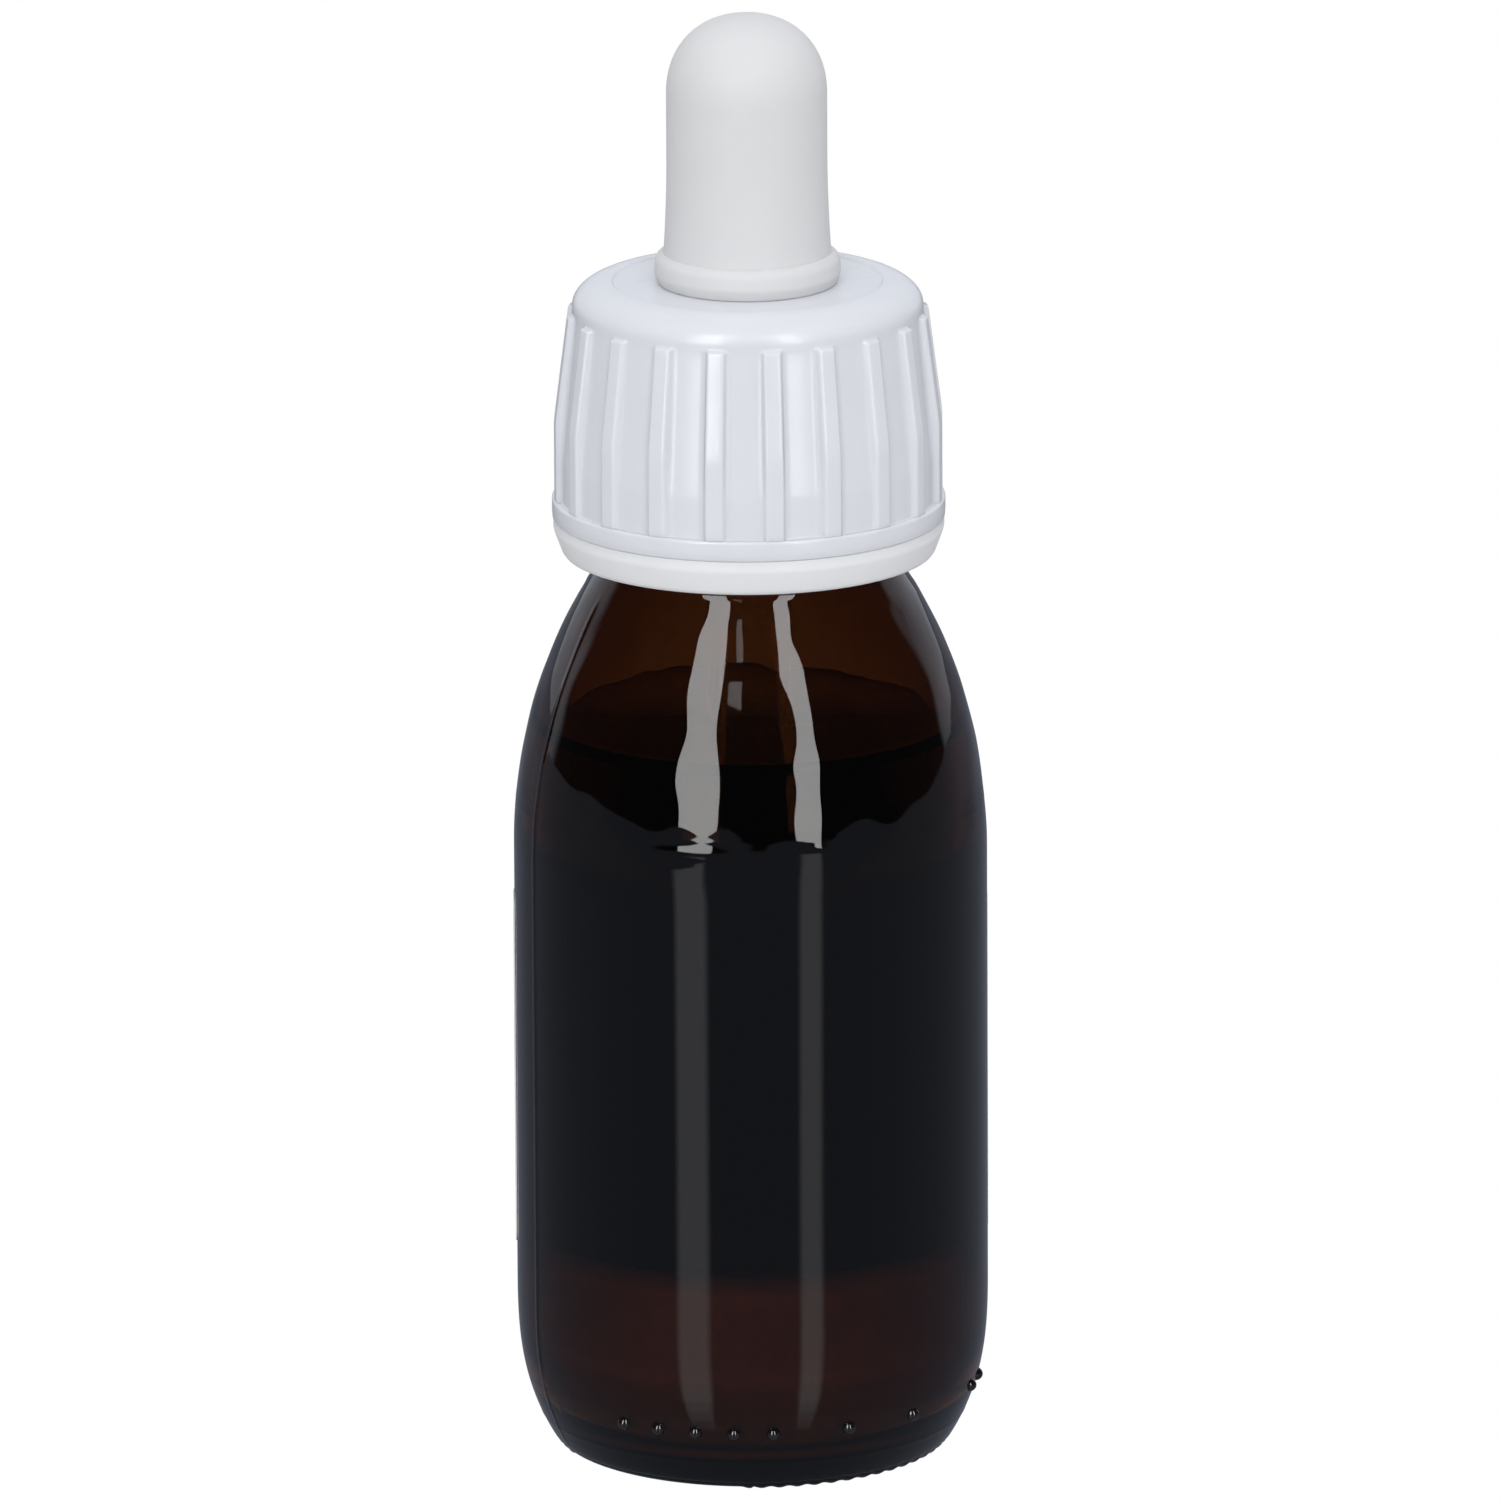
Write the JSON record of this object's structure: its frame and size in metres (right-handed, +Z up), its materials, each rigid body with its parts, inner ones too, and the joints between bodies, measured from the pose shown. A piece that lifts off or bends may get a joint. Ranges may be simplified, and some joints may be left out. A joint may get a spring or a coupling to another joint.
{
  "type": "medicine dropper bottle",
  "caption": "Round amber glass bottle with a ribbed screw cap, rubber squeeze bulb and a glass pipette that hangs down inside it.",
  "frame": {"origin": "on the bottle's axis, in the plane that its foot ring stands on", "axes": "+Z up along the bottle's axis; -Y is the front, with the rear label round the +Y side; +X is to the right seen from the front"},
  "size_m": [0.0391, 0.0391, 0.1208],
  "materials": {
    "amber_glass": "polished amber moulded glass",
    "label_paper": "plain coated paper",
    "white_plastic_matte": "satin moulded polyethylene",
    "white_plastic": "glossy moulded polypropylene",
    "white_rubber": "matte off-white soft rubber",
    "clear_glass": "clear drawn glass tube"
  },
  "bodies": {
    "bottle": {"glass_bottle": "amber_glass", "rear_label": "label_paper"},
    "tamper_ring": {"tamper_ring": "white_plastic_matte"},
    "dropper": {"glass_pipette": "clear_glass"},
    "cap": {"screw_cap": "white_plastic"},
    "bulb": {"rubber_bulb": "white_rubber"}
  },
  "joints": [
    {"name": "dropper_lift", "type": "slide", "parent": "bottle", "child": "dropper", "axis": [0, 0, 1], "range_m": [0, 0.1]},
    {"name": "cap_turn", "type": "hinge", "parent": "dropper", "child": "cap", "pos_m": [0, 0, 0.085], "axis": [0, 0, 1], "range_deg": [0, 450]},
    {"name": "bulb_squeeze", "type": "hinge", "parent": "dropper", "child": "bulb", "pos_m": [-0.0068, 0, 0.1011], "axis": [0, 1, 0], "range_deg": [0, 14], "stiffness_Nm_per_rad": 0.02, "deforming": ["rubber_bulb"]},
    {"name": "tamper_ring_turn", "type": "hinge", "parent": "bottle", "child": "tamper_ring", "pos_m": [0, 0, 0.0768], "axis": [0, 0, 1], "continuous": true}
  ]
}
